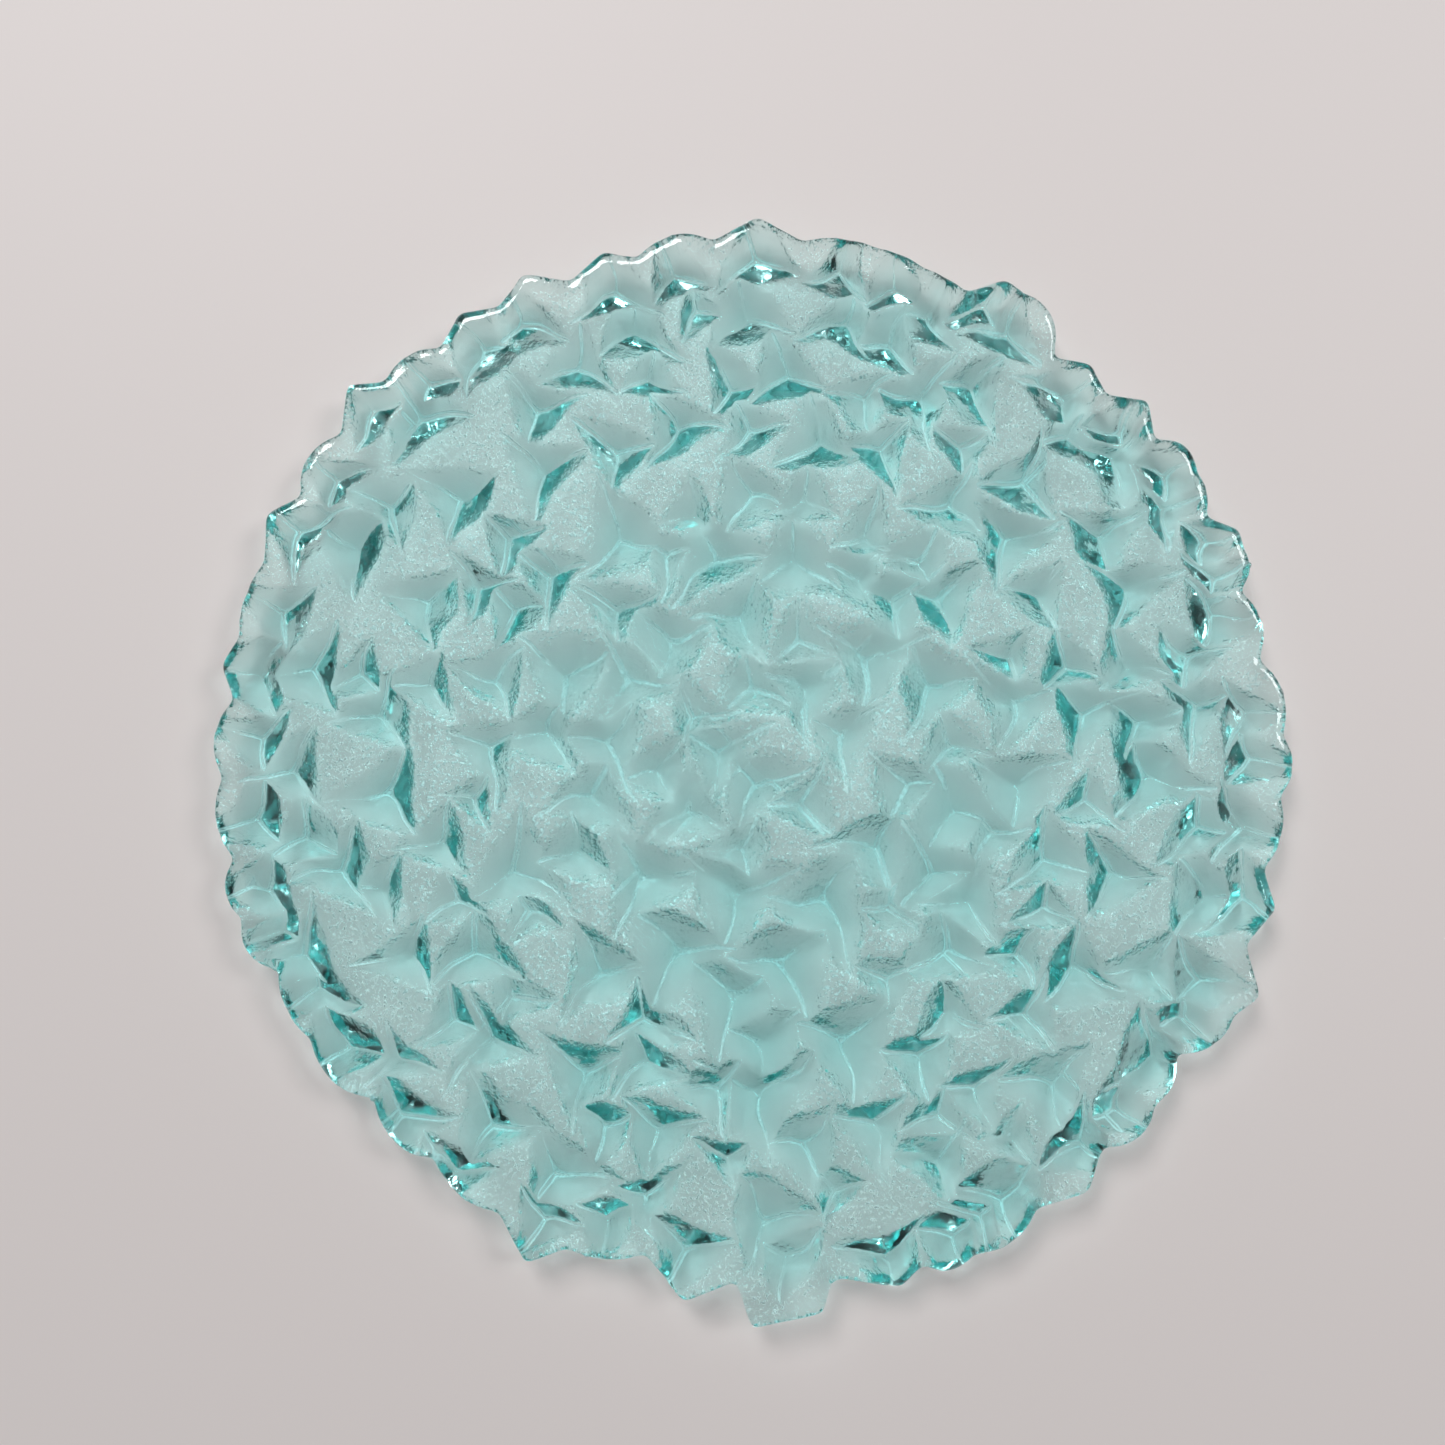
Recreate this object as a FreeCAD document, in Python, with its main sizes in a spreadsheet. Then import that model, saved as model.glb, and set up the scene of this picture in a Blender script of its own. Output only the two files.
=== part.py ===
"""Crushed-ice glass platter: one piece of cast aqua glass, in millimetres.

A flat round well with a smooth top runs out into a gently raised rim.
Three-sided glass peaks cover the whole underside, and the platter stands on
their ground tips.  The rim ends in an irregular ring of teeth.
Frame: +Z up, origin on the table under the middle of the platter, -Y towards
the user, where the broad square tooth is.
"""
import FreeCAD, Part
import math
import os
import random
import Sketcher
from FreeCAD import Placement, Rotation, Vector

NODE = "glass_platter"

# Driving dimensions: alias, value (mm, degrees or a plain count), meaning.
DIMENSIONS = [
    ("well_radius", 133.0, "flat middle of the platter, out to the fold"),
    ("blank_radius", 178.0, "round blank that the toothed outline is cut from"),
    ("relief_depth", 6.5, "from the table up to the floor between the peaks"),
    ("web_thickness", 5.5, "glass between that floor and the smooth top"),
    ("rim_rise", 4.0, "climb of the rim from the fold to the blank's edge"),
    ("tip_reach", 0.5, "how far the tallest peaks are made past the table plane"),
    ("middle_slope", 28.0, "slope of a facet from the flat, in the middle of the well"),
    ("middle_radius", 85.0, "out to where the facets keep that slope"),
    ("peak_slope", 35.5, "slope of the facets further out and of the tall peaks"),
    ("tooth_inset", 11.0, "from the tip of a tooth in to its peak"),
    ("root_depth", 0.8, "how deep the foot of a peak is sunk in the web"),
    ("fold_root_depth", 2.2, "the same for a peak near the fold"),
    ("ring_pitch", 19.0, "distance from one ring of peaks to the next"),
    ("peak_pitch", 20.5, "distance between neighbours in a ring"),
    ("peak_gap", 13.0, "least distance between two peaks in the well"),
    ("tooth_gap", 9.0, "least distance between a tooth's peak and the others"),
    ("rim_ring_radius", 155.0, "where the rings of the well give way to the teeth"),
    ("tab_width", 25.0, "square tooth on the user's side, across"),
    ("tab_reach", 171.5, "from the middle of the platter to its outer edge"),
    ("tab_length", 20.0, "from its outer edge back into the rim"),
    ("tab_bearing", 274.0, "direction of the square tooth, anticlockwise from +X"),
    ("tab_turn", 8.0, "how far its outer edge is turned from square to that"),
]

# Height of a tooth over its width: above the first it comes to a point, below the second it
# is two straight edges, and in between it is an arc.
POINTED = 0.22
FLAT = 0.02

# Teeth of the rim, anticlockwise from +X: bearing of the tip in degrees, its reach, and how
# far the notch after it lies further in than the tip (mm).
TEETH = [
    (0, 168, 3), (5, 167, 6), (17, 164, 3), (21, 167, 0), (25, 169, 8), (31, 166, 0),
    (34, 168, 7), (42, 168, 8), (49, 164, 6), (57, 170, 0), (62, 171, 9), (68, 164, 0),
    (73, 166, 0), (79, 167, 3), (89, 171, 7), (99, 167, 5), (106, 167, 6), (115, 169, 6),
    (123, 168, 6), (131, 167, 2), (137, 173, 9), (146, 168, 5), (153, 170, 6), (163, 166, 2),
    (170, 168, 6), (177, 167, 3), (187, 167, 4), (195, 168, 3), (200, 167, 7), (208, 163, 2),
    (217, 163, 7), (227, 161, 4), (236, 161, 2), (246, 169, 9), (253, 160, 5), (263, 167, 7),
    (274, 163, 2), (286, 168, 5), (292, 168, 2), (297, 168, 5), (308, 168, 7), (317, 166, 3),
    (322, 164, 5), (329, 168, 0), (335, 173, 10), (344, 169, 7), (352, 166, 2),
]

# Tall peaks that stand apart from the rings of the relief: x, y in mm.
TALL_PEAKS = [
    (125, -5), (140, 16), (122, 11), (118, 53), (112, 71), (115, 95), (61, 51), (71, 117),
    (53, 114), (83, 136), (30, 138), (11, 123), (-24, 105), (-67, 111), (-66, 91),
    (-93, 83), (-105, 107), (-73, 139), (-62, 58), (-102, 49), (-126, 69), (-139, 28),
    (-117, 13), (-115, -11), (-129, -35), (-139, -63), (-127, -89), (-107, -112),
    (-92, -127), (-80, -113), (-52, -98), (-58, -128), (-21, -152), (42, -153),
    (63, -148), (58, -124), (53, -93), (78, -134), (102, -120), (123, -92), (103, -67),
    (139, -68), (141, -42), (113, -36), (140, -21),
]
# Gently sloped peaks of the lower middle, the broadest one first.
RIDGED_PEAKS = [(-5, -43), (-23, -62), (-7, -73), (12, -65), (2, -87), (23, -45), (30, -88),
                (4, -104)]

# Unevenness of each kind of peak: how far its slope and its twist stray to either side
# (degrees), and the least and the most that it falls short of the tallest peaks (mm).
PEAK_KINDS = {
    "ridged": (0, 9, 0, 0),
    "tall": (1.5, 16, 0, 1),
    "filler": (4, 35, 0.4, 2.4),
    "tooth": (2, 14, 0.2, 1.8),
}

# How far a filler strays from its even place: share of the pitch along its ring, and mm across.
ALONG_RING = 0.25
ACROSS_RING = 4.5

# How far a tooth's peak strays in or out (mm).
TOOTH_STRAY = 1.5

# Height that both outline solids are made to, clear of the highest glass.
PAD_HEIGHT = "2 * Dimensions.relief_depth + Dimensions.web_thickness + Dimensions.rim_rise"


def write_sheet(doc):
    """Put the driving dimensions in a spreadsheet and give each an alias."""
    sheet = doc.addObject("Spreadsheet::Sheet", "Dimensions")
    for row, (alias, value, meaning) in enumerate(DIMENSIONS, start=1):
        sheet.set(f"A{row}", alias)
        sheet.set(f"B{row}", str(value))
        sheet.setAlias(f"B{row}", alias)
        sheet.set(f"C{row}", meaning)
    doc.recompute()
    return sheet


def origin_plane(body, role):
    """The plane of the body's own origin with this role, such as XY_Plane."""
    return [f for f in body.Origin.OriginFeatures if f.Role == role][0]


def new_sketch(body, name, role):
    sketch = body.newObject("Sketcher::SketchObject", name)
    sketch.AttachmentSupport = [(origin_plane(body, role), "")]
    sketch.MapMode = "FlatFace"
    return sketch


def revolved_body(doc, name, profile):
    """Turn a closed profile about Z; each corner is a pair of sheet expressions."""
    body = doc.addObject("PartDesign::Body", name)
    sketch = new_sketch(body, name + "_profile", "XZ_Plane")
    sheet = doc.Dimensions
    spots = [Vector(eval_size(sheet, r), eval_size(sheet, z), 0) for r, z in profile]
    for start, end in zip(spots, spots[1:] + spots[:1]):
        sketch.addGeometry(Part.LineSegment(start, end), False)
    count = len(profile)
    for index in range(count):
        sketch.addConstraint(
            Sketcher.Constraint("Coincident", index, 2, (index + 1) % count, 1))
    for index, (radius, height) in enumerate(profile):
        bind_corner(sketch, index, "DistanceX", radius, spots[index].x)
        bind_corner(sketch, index, "DistanceY", height, spots[index].y)
    turn = body.newObject("PartDesign::Revolution", name + "_turn")
    turn.Profile = sketch
    turn.ReferenceAxis = (sketch, ["V_Axis"])
    turn.Angle = 360.0
    body.Tip = turn
    return body


def bind_corner(sketch, index, kind, terms, value):
    """Hold one coordinate of a sketch corner to the sum of the named sizes."""
    number = sketch.addConstraint(Sketcher.Constraint(kind, -1, 1, index, 1, value))
    if terms:
        formula = " + ".join("Dimensions." + term for term in terms)
        sketch.setExpression(f"Constraints[{number}]", f"({formula}) * 1 mm")


def eval_size(sheet, terms):
    """The sum of the named sizes."""
    return sum(float(getattr(sheet, term)) for term in terms)


def outline_spot(bearing, reach):
    angle = math.radians(bearing)
    return Vector(reach * math.cos(angle), reach * math.sin(angle), 0)


def outline_edges():
    """The teeth one after another: an arc over each low one, straight flanks on the others."""
    tips = [outline_spot(bearing, reach) for bearing, reach, _ in TEETH]
    roots = []
    for index, (bearing, reach, notch) in enumerate(TEETH):
        after = TEETH[(index + 1) % len(TEETH)][0]
        roots.append(outline_spot(bearing + (after - bearing) % 360 / 2, reach - notch))
    edges = []
    for index, tip in enumerate(tips):
        before, after = roots[index - 1], roots[index]
        height = tip.distanceToLine(before, after - before)
        if FLAT < height / before.distanceToPoint(after) < POINTED:
            edges.append(Part.Arc(before, tip, after))
        else:
            edges.append(Part.LineSegment(before, tip))
            edges.append(Part.LineSegment(tip, after))
    return edges


def toothed_body(doc):
    """The outline of the rim, padded up past the highest glass."""
    body = doc.addObject("PartDesign::Body", "outline_blank")
    sketch = new_sketch(body, "rim_outline", "XY_Plane")
    sketch.addGeometry(outline_edges(), False)
    pad = body.newObject("PartDesign::Pad", "outline_pad")
    pad.Profile = sketch
    pad.setExpression("Length", f"({PAD_HEIGHT}) * 1 mm")
    body.Tip = pad
    return body


def square_tooth(doc):
    """The broad square tooth, as a block that is cut to the platter's section."""
    sheet = doc.Dimensions
    block = doc.addObject("Part::Box", "square_tooth")
    block.setExpression("Length", "Dimensions.tab_length * 1 mm")
    block.setExpression("Width", "Dimensions.tab_width * 1 mm")
    block.setExpression("Height", f"({PAD_HEIGHT}) * 1 mm")
    middle_of_edge = outline_spot(sheet.tab_bearing, sheet.tab_reach)
    turn = Rotation(Vector(0, 0, 1), sheet.tab_bearing + sheet.tab_turn)
    corner = turn.multVec(Vector(-sheet.tab_length, -sheet.tab_width / 2, 0))
    block.Placement = Placement(middle_of_edge + corner, turn)
    return block


def rim_climb(sheet, radius):
    """Height that the rim has gained at this radius."""
    run = sheet.blank_radius - sheet.well_radius
    return sheet.rim_rise * max(0.0, radius - sheet.well_radius) / run


def three_sided_peak(depth, slope, root):
    """A pyramid that points down, with one ridge along +X and its floor at z = 0."""
    inner = (depth + root) / math.tan(math.radians(slope))
    foot = [outline_spot(bearing, 2 * inner) + Vector(0, 0, root) for bearing in (0, 120, 240)]
    tip = Vector(0, 0, -depth)
    faces = [Part.Face(Part.makePolygon([tip, foot[i - 1], foot[i], tip])) for i in range(3)]
    faces.append(Part.Face(Part.makePolygon(foot + foot[:1])))
    return Part.Solid(Part.Shell(faces))


def set_peak(sheet, spot, depth, slope, twist):
    """Stand a peak under the platter, its first ridge pointing outward plus a twist."""
    radius = math.hypot(*spot)
    bearing = math.degrees(math.atan2(spot[1], spot[0]))
    near_fold = abs(radius - sheet.well_radius) < sheet.peak_gap
    root = sheet.fold_root_depth if near_fold else sheet.root_depth
    lean = 0.0
    if radius > sheet.well_radius:
        lean = math.degrees(math.atan2(sheet.rim_rise, sheet.blank_radius - sheet.well_radius))
    peak = three_sided_peak(depth, slope, root)
    floor = sheet.relief_depth + rim_climb(sheet, radius)
    around = Rotation(Vector(0, 0, 1), bearing)
    tilted = Rotation(Vector(0, 1, 0), -lean)
    twisted = Rotation(Vector(0, 0, 1), twist)
    peak.Placement = Placement(Vector(spot[0], spot[1], floor), around * tilted * twisted)
    return peak


def far_from(spot, taken, gap):
    return all(math.hypot(spot[0] - x, spot[1] - y) > gap for x, y in taken)


def filler_spots(sheet, taken, draw):
    """Rings of lower peaks in the places that the other peaks leave free."""
    spots = []
    ring = sheet.ring_pitch * 0.4
    while ring < sheet.rim_ring_radius - sheet.peak_gap:
        count = max(3, round(2 * math.pi * ring / sheet.peak_pitch))
        start = draw.uniform(0, 360)
        for index in range(count):
            along = index + draw.uniform(-ALONG_RING, ALONG_RING)
            across = draw.uniform(-ACROSS_RING, ACROSS_RING)
            spot = outline_spot(start + 360 * along / count, ring + across)
            if far_from((spot.x, spot.y), taken + spots, sheet.peak_gap):
                spots.append((spot.x, spot.y))
        ring += sheet.ring_pitch
    return spots


def facet_slope(sheet, kind, radius):
    """Slope of a peak's facets, which are gentler in the middle of the well."""
    gentle = kind == "ridged" or (kind == "filler" and radius < sheet.middle_radius)
    return sheet.middle_slope if gentle else sheet.peak_slope


def uneven_peak(sheet, kind, spot, draw):
    """A peak of this kind with its own share of the unevenness."""
    slope_stray, twist_stray, least_short, most_short = PEAK_KINDS[kind]
    slope = facet_slope(sheet, kind, math.hypot(*spot)) + draw.uniform(-slope_stray, slope_stray)
    depth = sheet.relief_depth + sheet.tip_reach - draw.uniform(least_short, most_short)
    return set_peak(sheet, spot, depth, slope, draw.uniform(-twist_stray, twist_stray))


def all_peaks(sheet):
    """Every peak under the platter as a list of solids."""
    draw = random.Random(11)
    placed = [("ridged", spot) for spot in RIDGED_PEAKS]
    placed += [("tall", spot) for spot in TALL_PEAKS]
    taken = RIDGED_PEAKS + TALL_PEAKS
    placed += [("filler", spot) for spot in filler_spots(sheet, taken, draw)]
    for bearing, reach, _ in TEETH:
        stray = draw.uniform(-TOOTH_STRAY, TOOTH_STRAY)
        spot = outline_spot(bearing, reach - sheet.tooth_inset + stray)
        if far_from((spot.x, spot.y), taken, sheet.tooth_gap):
            placed.append(("tooth", (spot.x, spot.y)))
    return [uneven_peak(sheet, kind, spot, draw) for kind, spot in placed]


def relief_feature(doc, sheet):
    """The peaks as one object: a scatter that no sketch pattern can lay out."""
    peaks = all_peaks(sheet)
    relief = doc.addObject("Part::Feature", "crushed_relief")
    relief.Shape = peaks[0].multiFuse(peaks[1:])
    relief.Placement = Placement()
    return relief


def build():
    doc = FreeCAD.newDocument("glass_platter")
    sheet = write_sheet(doc)
    floor = ["relief_depth"]
    top = floor + ["web_thickness"]
    web = revolved_body(doc, "web_blank", [
        ([], floor),
        (["well_radius"], floor),
        (["blank_radius"], floor + ["rim_rise"]),
        (["blank_radius"], top + ["rim_rise"]),
        (["well_radius"], top),
        ([], top),
    ])
    room = revolved_body(doc, "below_top", [
        ([], []),
        (["blank_radius"], []),
        (["blank_radius"], top + ["rim_rise"]),
        (["well_radius"], top),
        ([], top),
    ])
    outline = doc.addObject("Part::MultiFuse", "outline")
    outline.Shapes = [toothed_body(doc), square_tooth(doc)]
    relief = relief_feature(doc, sheet)
    glass = doc.addObject("Part::MultiFuse", "web_and_peaks")
    glass.Shapes = [web, relief]
    limits = doc.addObject("Part::Common", "limits")
    limits.Base = room
    limits.Tool = outline
    platter = doc.addObject("Part::Common", "platter")
    platter.Base = glass
    platter.Tool = limits
    platter.Label = NODE
    platter.Placement = Placement()
    doc.recompute()
    return doc, platter


def check(doc, platter):
    """Stop if an object failed or the platter isn't one sound solid."""
    for item in doc.Objects:
        if "Invalid" in item.State or "Error" in item.State:
            raise RuntimeError(f"{item.Name} failed: {item.State}")
    shape = platter.Shape
    if shape.isNull() or not shape.isValid() or len(shape.Solids) != 1:
        raise RuntimeError(f"{platter.Label} isn't one valid solid")


def main():
    doc, platter = build()
    check(doc, platter)
    os.makedirs("parts", exist_ok=True)
    platter.Shape.exportStep(f"parts/{platter.Label}.step")
    box = platter.Shape.optimalBoundingBox()
    print(f"{platter.Label}: {box.XLength:.1f} x {box.YLength:.1f} x {box.ZLength:.1f} mm, "
          f"{platter.Shape.Volume / 1000:.0f} cm3")


main()
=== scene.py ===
"""Looks of the crushed-ice glass platter: aqua glass on a plain pale table.

The glass surface is one closed mesh.  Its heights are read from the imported
CAD solid by straight rays, then fire-polished: the ridges are rounded and
sway a little, the lip of each tooth is rolled over, and the faces get the
slow waves of cast glass.
"""
import math

import bpy
import numpy as np
from mathutils import Matrix, Vector, noise
from mathutils.bvhtree import BVHTree


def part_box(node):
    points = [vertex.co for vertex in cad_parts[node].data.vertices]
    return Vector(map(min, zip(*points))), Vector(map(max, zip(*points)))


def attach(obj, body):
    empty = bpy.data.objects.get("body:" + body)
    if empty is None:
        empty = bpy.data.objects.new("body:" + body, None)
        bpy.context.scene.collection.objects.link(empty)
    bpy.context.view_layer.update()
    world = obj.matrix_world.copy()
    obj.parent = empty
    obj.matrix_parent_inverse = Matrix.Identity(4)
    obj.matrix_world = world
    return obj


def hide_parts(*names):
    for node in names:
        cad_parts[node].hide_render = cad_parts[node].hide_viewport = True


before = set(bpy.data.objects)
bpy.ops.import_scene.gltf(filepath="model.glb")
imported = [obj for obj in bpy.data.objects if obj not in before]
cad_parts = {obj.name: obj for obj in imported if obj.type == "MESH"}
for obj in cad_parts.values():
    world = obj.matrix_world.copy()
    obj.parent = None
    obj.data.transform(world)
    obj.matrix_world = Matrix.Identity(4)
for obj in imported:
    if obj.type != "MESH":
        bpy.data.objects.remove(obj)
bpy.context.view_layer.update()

NODE = "glass_platter"
MM = 0.001

RINGS = 300                 # square rings of the grid from the middle to the lip
LIP_RINGS = 16              # outermost rings, which turn the lip over
TOP_STEP = 4                # the smooth top needs only every fourth ring
BEARINGS = 2880             # evenly spaced bearings at which the outline is read
LIP_RADIUS = 4.5 * MM
LIP_FULLNESS = 0.75         # power of the lip's curve; below 1 it is fuller than an ellipse
OUTLINE_PASSES = 30         # smoothing passes over the outline, which rounds the teeth
RIDGE_PASSES = 1            # smoothing passes over the relief
TOP_PASSES = 40             # smoothing passes over the fold of the top
TOOTH_ONSET = 6             # the higher, the nearer to the rim the rings begin to follow the teeth
LIP_WAVE_ONSET = 10         # the same for the lip's waves
SIDE_LEVEL = 0.8            # share of the height that cuts the upright side of every tooth
INSIDE_OUTLINE = 0.5 * MM   # heights are read at least this far inside the outline
OUTSIDE = 250 * MM          # distance from the middle at which the rays to the outline start
BELOW = -10 * MM            # height at which the rays to the underside start
ABOVE = 50 * MM             # height at which the rays to the top start
TABLE_GAP = 0.15 * MM       # keeps the ground tips off the table's own plane

FLOOR_GLASS = 5.5 * MM      # thickness of the glass over the floor of the relief
VALLEY_DEPTH = 2.6 * MM     # how far below that floor its pebbling reaches
VALLEY_PASSES = 2           # smoothing passes over the mark of the floor
RIDGE_BEND = 0.09 * MM      # bend of the underside between grid points on a full ridge

# Slow waves of the cast faces: height and length of a wave, and the level where the noise is cut.
SWAY_IN_X = (3.2 * MM, 13.0 * MM, 11.5)     # sideways, so that no ridge runs quite straight
SWAY_IN_Y = (3.2 * MM, 13.0 * MM, 17.5)
RELIEF_WAVE = (0.15 * MM, 6.0 * MM, 1.5)
PEBBLE_WAVE = (0.05 * MM, 1.9 * MM, 5.5)
TOP_WAVE = (0.22 * MM, 34.0 * MM, 7.5)
LIP_WAVE = (0.9 * MM, 11.0 * MM, 3.5)

GLASS_IOR = 1.5
GLASS_ROUGHNESS = 0.03
GLASS_TINT = (0.25, 0.84, 0.83, 1)          # colour of the light that is left deep in the glass
TINT_DENSITY = 44
GLASS_COLOR = (0.92, 0.985, 0.98, 1)
# White of the floor's frost with its painted sparkle, and of the painted highlights along the ridges.
FROST_AND_HIGHLIGHT_COLOR = (0.9, 1.0, 1.0, 1)
PASS_THROUGH = (0.5, 0.445, 0.455, 1)       # share of the lamps' light that goes straight through

# Noise in the glass: how fine it is, in cells to the metre, and how many finer levels it has.
# The edge patches break up the painted highlights along the ridges.
EDGE_HIGHLIGHT_PATCHES = (60, 1)
FLOOR_PATCHES = (130, 3)
FLOW = (260, 4)
PEBBLES = (850, 3)

# The values at which a mark on the glass begins and is full.
# The edge ends are where the painted ridge highlights fade in and are full.
EDGE_HIGHLIGHT_ENDS = (0.35, 0.6)
PEBBLED_ENDS = (0.8, 1.45)
# Where the floor's frost and its painted sparkle begin and are full.
FROST_AND_SPARKLE_ENDS = (1.35, 1.8)
GRIT_ENDS = (0.52, 0.64)
MIDDLE_ENDS = (150 * MM, 50 * MM)           # distances from the middle of the well
MIDDLE_SPREAD = 0.55        # what the middle adds to the mark of the floor
# Whiteness of the painted highlight lines along the ridges.
RIDGE_HIGHLIGHT = 0.75
# Whiteness of the floor's frost, which also carries painted sparkle in place of the lamps' glints.
FLOOR_FROST_AND_SPARKLE = 0.8
FLOW_BUMP = 0.35
BUMP_DEPTH = 0.5 * MM

TABLE_WIDTH = 6
TABLE_COLOR = (0.70, 0.649, 0.639, 1)
TABLE_ROUGHNESS = 0.6

# The room by the direction that its light comes from.
ROOM_BY_HEIGHT = [(0.0, 0.03), (0.25, 0.08), (0.55, 0.18), (0.95, 0.25)]    # upward part, strength
USER_SIDE = 0.05            # share of that strength on the user's side
USER_SIDE_ENDS = (-0.3, 0.0)                # part towards +Y, over which the share rises to 1
BACKDROP = 0.8              # strength of the plain room that the camera sees

WINDOW_LAMP = ((-0.9, 1.9, 2.5), 1.2, 76)   # place, width and watts
SIDE_LAMP = ((2.2, 0.9, 2.5), 1.0, 39)

FRAME_SPAN = 448 * MM       # what the frame covers at the distance of the spot it looks at
LOOK_AT = Vector((-8.3, 11.3, 14.0)) * MM
CAMERA_SPOT = Vector((-3.0, -9.0, 462.0)) * MM
SENSOR_WIDTH = 36           # in millimetres, as a camera has it

ALL_BOUNCES = 32
MIRROR_BOUNCES = 20
GLASS_BOUNCES = 28


def cad_tree():
    """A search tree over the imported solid's own triangles."""
    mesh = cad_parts[NODE].data
    points = [v.co.copy() for v in mesh.vertices]
    faces = [tuple(p.vertices) for p in mesh.polygons]
    return BVHTree.FromPolygons(points, faces)


def rounded_outline(solid):
    """Reach of the toothed outline at each bearing, with the corners of the teeth rounded."""
    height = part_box(NODE)[1].z * SIDE_LEVEL
    reach = np.zeros(BEARINGS)
    for index in range(BEARINGS):
        angle = 2 * math.pi * index / BEARINGS
        outward = Vector((math.cos(angle), math.sin(angle), 0))
        start = outward * OUTSIDE + Vector((0, 0, height))
        hit = solid.ray_cast(start, -outward)[0]
        reach[index] = math.hypot(hit.x, hit.y)
    for _ in range(OUTLINE_PASSES):
        reach = (np.roll(reach, 1) + 2 * reach + np.roll(reach, -1)) / 4
    return reach


def concentric_grid(rings):
    """Share of the way to the rim and bearing for each point of a square grid."""
    line = np.linspace(-1, 1, 2 * rings + 1)
    u, v = np.meshgrid(line, line, indexing="ij")
    share = np.maximum(abs(u), abs(v))
    safe_u = np.where(u == 0, 1e-12, u)
    safe_v = np.where(v == 0, 1e-12, v)
    across = np.where(abs(u) > abs(v), math.pi / 4 * v / safe_u,
                      math.pi / 2 - math.pi / 4 * u / safe_v)
    flipped = np.where(abs(u) > abs(v), u < 0, v < 0)
    return share, across + math.pi * flipped


def neighbour_mean(field):
    """Mean of the four neighbours of each inner grid value."""
    return (field[:-2, 1:-1] + field[2:, 1:-1] + field[1:-1, :-2] + field[1:-1, 2:]) / 4


def smooth_field(field, passes):
    """Average each inner grid value with its neighbours."""
    for _ in range(passes):
        inner = neighbour_mean(field)
        field = field.copy()
        field[1:-1, 1:-1] = (field[1:-1, 1:-1] + inner) / 2
    return field


def heights(solid, x, y, start_z, way):
    """Height where a ray straight up or down first meets the solid, for each grid point."""
    field = np.zeros(x.shape)
    for spot in np.ndindex(x.shape):
        hit = solid.ray_cast(Vector((x[spot], y[spot], start_z)), Vector((0, 0, way)))[0]
        field[spot] = hit.z if hit is not None else np.nan
    while np.isnan(field).any():
        for shift in ((1, 0), (-1, 0), (0, 1), (0, -1)):
            field = np.where(np.isnan(field), np.roll(field, shift, (0, 1)), field)
    return field


def waves(x, y, wave):
    """Slow uneven waves over the grid."""
    height, length, level = wave
    field = np.zeros(x.shape)
    for spot in np.ndindex(x.shape):
        field[spot] = noise.noise(Vector((x[spot] / length, y[spot] / length, level)))
    return field * height


def glass_sheets():
    """Grid points of the top and of the underside, meeting along the lip."""
    solid = cad_tree()
    share, bearing = concentric_grid(RINGS)
    outline = rounded_outline(solid)
    turn = (bearing % (2 * math.pi)) * BEARINGS / (2 * math.pi)
    reach = np.interp(turn, np.arange(BEARINGS + 1), np.append(outline, outline[0]))

    ring = np.rint(share * RINGS)
    inner_rings = RINGS - LIP_RINGS
    roll = np.clip((ring - inner_rings) / LIP_RINGS, 0, 1) * math.pi / 2
    flat = np.minimum(ring / inner_rings, 1)
    mean_reach = outline.mean()
    ring_reach = mean_reach + (reach - mean_reach) * flat ** TOOTH_ONSET
    radius = flat * (ring_reach - LIP_RADIUS) + LIP_RADIUS * np.sin(roll)
    x, y = radius * np.cos(bearing), radius * np.sin(bearing)

    inside = np.minimum(radius, reach - INSIDE_OUTLINE)
    x_in, y_in = inside * np.cos(bearing), inside * np.sin(bearing)
    x_swayed, y_swayed = x_in + waves(x, y, SWAY_IN_X), y_in + waves(x, y, SWAY_IN_Y)
    top = smooth_field(heights(solid, x_in, y_in, ABOVE, -1), TOP_PASSES)
    under = smooth_field(heights(solid, x_swayed, y_swayed, BELOW, 1), RIDGE_PASSES)
    marks = {"valley": valley_share(top - under), "ridge": ridge_share(under)}

    under = under + waves(x, y, RELIEF_WAVE) + waves(x, y, PEBBLE_WAVE)
    top = top + waves(x, y, TOP_WAVE) + waves(x, y, LIP_WAVE) * flat ** LIP_WAVE_ONSET
    top = np.minimum(top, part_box(NODE)[1].z)
    middle = (top + under) / 2
    bulge = (top - under) / 2 * np.cos(roll) ** LIP_FULLNESS
    return x, y, middle + bulge, np.maximum(middle - bulge, TABLE_GAP), marks


def valley_share(thickness):
    """0 on the peaks and 1 on the floor between them, where the glass is thinnest."""
    share = np.clip(1 - (thickness - FLOOR_GLASS) / VALLEY_DEPTH, 0, 1)
    return smooth_field(share, VALLEY_PASSES)


def ridge_share(under):
    """1 along the ridges and on the tips, where the underside bends most."""
    bend = np.zeros(under.shape)
    bend[1:-1, 1:-1] = neighbour_mean(under) - under[1:-1, 1:-1]
    return np.clip(bend / RIDGE_BEND, 0, 1)


def coarse_faces(index, edge, step):
    """Blocks of step by step cells; a block keeps the fine points it shares with the lip."""
    side = index.shape[0]
    low, high = edge, side - 1 - edge
    faces = []
    for i in range(low, high, step):
        for j in range(low, high, step):
            walk = [(i + k, j) for k in range(step)] + [(i + step, j + k) for k in range(step)]
            walk += [(i + step - k, j + step) for k in range(step)]
            walk += [(i, j + step - k) for k in range(step)]
            kept = []
            for a, b in walk:
                corner = (a - low) % step == 0 and (b - low) % step == 0
                if corner or a in (low, high) or b in (low, high):
                    kept.append(int(index[a, b]))
            faces.append(kept)
    return faces


def cell_corners(index):
    """The four corners of every cell of the grid."""
    return np.stack([index[:-1, :-1], index[1:, :-1], index[1:, 1:], index[:-1, 1:]], -1)


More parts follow.
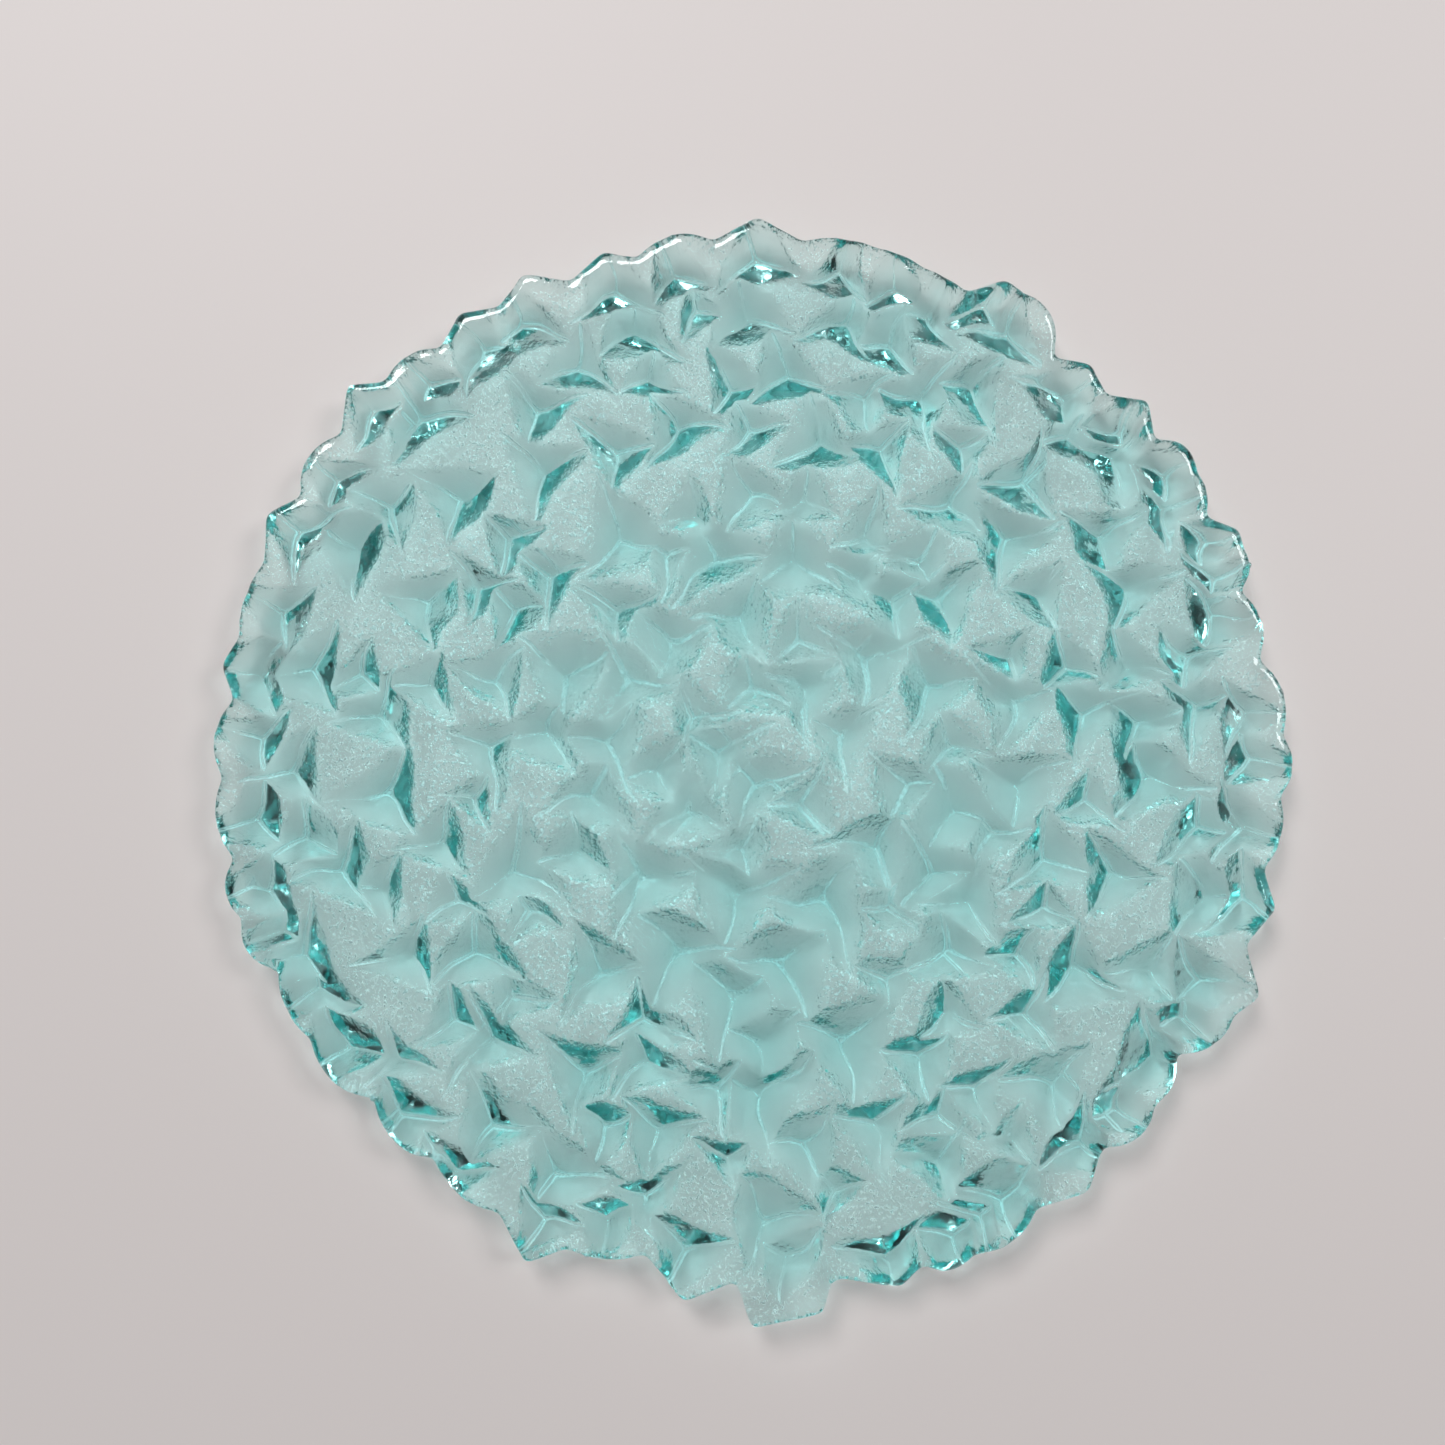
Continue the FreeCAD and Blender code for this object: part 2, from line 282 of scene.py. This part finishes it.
def sheet_mesh(name, x, y, top, under, marks):
    """One closed mesh from the two sheets, which share the points of the lip."""
    side = x.shape[0]
    count = side * side
    upper = np.arange(count).reshape(side, side)
    lower = upper + count
    lower[0, :], lower[-1, :] = upper[0, :], upper[-1, :]
    lower[:, 0], lower[:, -1] = upper[:, 0], upper[:, -1]
    points = np.concatenate([
        np.stack([x, y, top], -1).reshape(-1, 3),
        np.stack([x, y, under], -1).reshape(-1, 3)])
    faces = cell_corners(lower).reshape(-1, 4)[:, ::-1].tolist()
    rim = cell_corners(upper)
    rim_cells = np.ones(rim.shape[:2], bool)
    rim_cells[LIP_RINGS:-LIP_RINGS, LIP_RINGS:-LIP_RINGS] = False
    faces += rim[rim_cells].tolist()
    faces += coarse_faces(upper, LIP_RINGS, TOP_STEP)

    used = np.unique(np.fromiter((point for face in faces for point in face), np.int64))
    place = np.zeros(2 * count, np.int64)
    place[used] = np.arange(len(used))
    mesh = bpy.data.meshes.new(name)
    mesh.from_pydata(points[used].tolist(), [], [[int(place[p]) for p in f] for f in faces])
    mesh.update(calc_edges=True)
    mesh.shade_smooth()
    for label, field in marks.items():
        values = np.concatenate([np.zeros(count), field.ravel()])[used]
        attribute = mesh.attributes.new(label, "FLOAT", "POINT")
        attribute.data.foreach_set("value", values.astype(np.float32))
    return mesh


def feed(tree, socket, value):
    """Give a socket its value: another node's output, a number or a colour."""
    if isinstance(value, bpy.types.NodeSocket):
        tree.links.new(value, socket)
    else:
        socket.default_value = value


def noise_node(tree, place, grain):
    """Noise over the place, with its scale and its detail."""
    node = tree.nodes.new("ShaderNodeTexNoise")
    for name, value in zip(("Vector", "Scale", "Detail"), (place, *grain)):
        feed(tree, node.inputs[name], value)
    return node.outputs["Fac"]


def math_node(tree, operation, *values):
    """One step of arithmetic, which is kept from 0 to 1 unless it is a sum."""
    node = tree.nodes.new("ShaderNodeMath")
    node.operation = operation
    node.use_clamp = operation != "ADD"
    for socket, value in zip(node.inputs, values):
        feed(tree, socket, value)
    return node.outputs["Value"]


def range_node(tree, value, ends, top, bottom=0):
    """From the bottom value at the first end evenly to the top value at the second, and flat outside."""
    node = tree.nodes.new("ShaderNodeMapRange")
    settings = {"Value": value, "From Min": ends[0], "From Max": ends[1], "To Min": bottom, "To Max": top}
    for name, setting in settings.items():
        feed(tree, node.inputs[name], setting)
    return node.outputs["Result"]


def mix_node(tree, kind, factor, first, second):
    """A mix of two numbers or two colours."""
    node = tree.nodes.new("ShaderNodeMix")
    node.data_type = kind
    for name, value in zip(("Factor", "A", "B"), (factor, first, second)):
        feed(tree, node.inputs[name], value)
    return node.outputs["Result"]


def bump_node(tree, height, strength, before=None):
    """Bump from a height, over an earlier bump where there is one."""
    node = tree.nodes.new("ShaderNodeBump")
    feed(tree, node.inputs["Distance"], BUMP_DEPTH)
    feed(tree, node.inputs["Height"], height)
    feed(tree, node.inputs["Strength"], strength)
    if before is not None:
        feed(tree, node.inputs["Normal"], before)
    return node.outputs["Normal"]


def mark_node(tree, name):
    """A mark that the mesh carries."""
    node = tree.nodes.new("ShaderNodeAttribute")
    node.attribute_name = name
    return node.outputs["Fac"]


def floor_mark(tree, place):
    """High on the floor between the peaks, in patches, and higher in the middle of the well."""
    distance = tree.nodes.new("ShaderNodeVectorMath")
    distance.operation = "LENGTH"
    feed(tree, distance.inputs[0], place)
    middle = range_node(tree, distance.outputs["Value"], MIDDLE_ENDS, MIDDLE_SPREAD)
    patches = noise_node(tree, place, FLOOR_PATCHES)
    return math_node(tree, "ADD", math_node(tree, "ADD", mark_node(tree, "valley"), patches), middle)


def ridge_edge_highlight(tree, place):
    """Painted highlights: thin pale lines along both edges of a rounded ridge, which fade in and out."""
    off_crest = math_node(tree, "ABSOLUTE", range_node(tree, mark_node(tree, "ridge"), (0, 1), 1, -1))
    edge = math_node(tree, "SUBTRACT", 1, off_crest)
    patches = range_node(tree, noise_node(tree, place, EDGE_HIGHLIGHT_PATCHES), EDGE_HIGHLIGHT_ENDS, RIDGE_HIGHLIGHT)
    return math_node(tree, "MULTIPLY", edge, patches)


def frosted_and_highlit_surface(tree, shader):
    """Put the waves, the pebbling, the white frosting with its painted sparkle and the painted ridge
    highlights on the glass.
    """
    place = tree.nodes.new("ShaderNodeTexCoord").outputs["Object"]
    floor = floor_mark(tree, place)
    pebble = noise_node(tree, place, PEBBLES)
    waved = bump_node(tree, noise_node(tree, place, FLOW), FLOW_BUMP)
    pebbled = bump_node(tree, pebble, range_node(tree, floor, PEBBLED_ENDS, 1), waved)
    feed(tree, shader.inputs["Normal"], pebbled)

    # White grit on the floor: real frost, and painted sparkle in place of the lamps' glints.
    grit = range_node(tree, pebble, GRIT_ENDS, 1)
    speckle = math_node(tree, "MULTIPLY", grit, range_node(tree, floor, FROST_AND_SPARKLE_ENDS, FLOOR_FROST_AND_SPARKLE))
    # Frost and painted highlights together make the glass white and less clear.
    frost_and_highlight = math_node(tree, "MAXIMUM", speckle, ridge_edge_highlight(tree, place))
    feed(tree, shader.inputs["Transmission Weight"], math_node(tree, "SUBTRACT", 1, frost_and_highlight))
    feed(tree, shader.inputs["Base Color"], mix_node(tree, "RGBA", frost_and_highlight, GLASS_COLOR, FROST_AND_HIGHLIGHT_COLOR))


def lamps_through(tree, surface):
    """Let the lamps' light pass straight through, tinted, to what lies below the glass."""
    clear = tree.nodes.new("ShaderNodeBsdfTransparent")
    feed(tree, clear.inputs["Color"], PASS_THROUGH)
    path = tree.nodes.new("ShaderNodeLightPath")
    mixed = tree.nodes.new("ShaderNodeMixShader")
    for socket, value in zip(mixed.inputs, (path.outputs["Is Shadow Ray"], surface, clear.outputs["BSDF"])):
        feed(tree, socket, value)
    return mixed.outputs["Shader"]


def new_material(name):
    """A material with its node tree and its main shader."""
    material = bpy.data.materials.new(name)
    material.use_nodes = True
    return material, material.node_tree, material.node_tree.nodes["Principled BSDF"]


def aqua_glass():
    """Clear aqua glass with painted highlights along its ridges, pebbled and frosted on the relief's floor,
    with painted sparkle there.
    """
    material, tree, shader = new_material("aqua_glass")
    output = tree.nodes["Material Output"]
    feed(tree, shader.inputs["IOR"], GLASS_IOR)
    feed(tree, shader.inputs["Roughness"], GLASS_ROUGHNESS)
    tint = tree.nodes.new("ShaderNodeVolumeAbsorption")
    feed(tree, tint.inputs["Color"], GLASS_TINT)
    feed(tree, tint.inputs["Density"], TINT_DENSITY)
    feed(tree, output.inputs["Volume"], tint.outputs["Volume"])
    frosted_and_highlit_surface(tree, shader)
    feed(tree, output.inputs["Surface"], lamps_through(tree, shader.outputs["BSDF"]))
    return material


def make_platter():
    """The whole platter, in place of its CAD node."""
    mesh = sheet_mesh("platter_glass", *glass_sheets())
    mesh.materials.append(aqua_glass())
    piece = bpy.data.objects.new("platter_glass", mesh)
    bpy.context.scene.collection.objects.link(piece)
    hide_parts(NODE)
    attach(piece, "root")


def table_top():
    """The pale warm-grey table."""
    bpy.ops.mesh.primitive_plane_add(size=TABLE_WIDTH, location=(0, 0, 0))
    floor = bpy.context.object
    floor.name = "table_top"
    material, tree, shader = new_material("pale_table")
    feed(tree, shader.inputs["Base Color"], TABLE_COLOR)
    feed(tree, shader.inputs["Roughness"], TABLE_ROUGHNESS)
    floor.data.materials.append(material)


def ramp_node(tree, value, stops):
    """A colour ramp of greys over a value: stops are (position, grey)."""
    ramp = tree.nodes.new("ShaderNodeValToRGB")
    feed(tree, ramp.inputs["Fac"], value)
    marks = ramp.color_ramp.elements
    while len(marks) < len(stops):
        marks.new(0.5)
    for mark, (position, grey) in zip(marks, stops):
        mark.position = position
        mark.color = (grey, grey, grey, 1)
    return ramp.outputs["Color"]


def soft_room():
    """A bright room, dim near the horizon and dark on the user's side, with a plain backdrop."""
    world = bpy.data.worlds.new("room")
    bpy.context.scene.world = world
    world.use_nodes = True
    tree = world.node_tree
    background = tree.nodes["Background"]
    feed(tree, background.inputs["Color"], (1, 1, 1, 1))
    direction = tree.nodes.new("ShaderNodeTexCoord").outputs["Generated"]
    part = tree.nodes.new("ShaderNodeSeparateXYZ")
    feed(tree, part.inputs["Vector"], direction)
    by_height = ramp_node(tree, part.outputs["Z"], ROOM_BY_HEIGHT)
    by_side = range_node(tree, part.outputs["Y"], USER_SIDE_ENDS, 1, USER_SIDE)
    strength = math_node(tree, "MULTIPLY", by_height, by_side)
    to_camera = tree.nodes.new("ShaderNodeLightPath").outputs["Is Camera Ray"]
    feed(tree, background.inputs["Strength"], mix_node(tree, "FLOAT", to_camera, strength, BACKDROP))


def soft_lamp(name, place, width, power):
    """A square lamp that faces the middle of the table."""
    lamp = bpy.data.lights.new(name, "AREA")
    lamp.energy = power
    lamp.size = width
    holder = bpy.data.objects.new(name, lamp)
    bpy.context.scene.collection.objects.link(holder)
    holder.location = place
    holder.rotation_euler = (-Vector(place)).to_track_quat("-Z", "Y").to_euler()


def camera_above():
    """Almost straight down, held close by a hand a little on the user's side."""
    lens = bpy.data.cameras.new("camera")
    sight = LOOK_AT - CAMERA_SPOT
    lens.sensor_width = SENSOR_WIDTH
    lens.lens = SENSOR_WIDTH * sight.length / FRAME_SPAN
    holder = bpy.data.objects.new("camera", lens)
    bpy.context.scene.collection.objects.link(holder)
    holder.location = CAMERA_SPOT
    back = -sight.normalized()
    right = Vector((0, 1, 0)).cross(back).normalized()
    holder.rotation_euler = Matrix((right, back.cross(right), back)).transposed().to_euler()
    bpy.context.scene.camera = holder


def long_light_paths():
    """Enough bounces for light that is caught between the facets."""
    paths = bpy.context.scene.cycles
    paths.max_bounces = ALL_BOUNCES
    paths.glossy_bounces = MIRROR_BOUNCES
    paths.transmission_bounces = GLASS_BOUNCES


bpy.context.scene.view_settings.view_transform = "Standard"
long_light_paths()
make_platter()
table_top()
soft_room()
soft_lamp("window_lamp", *WINDOW_LAMP)
soft_lamp("side_lamp", *SIDE_LAMP)
camera_above()
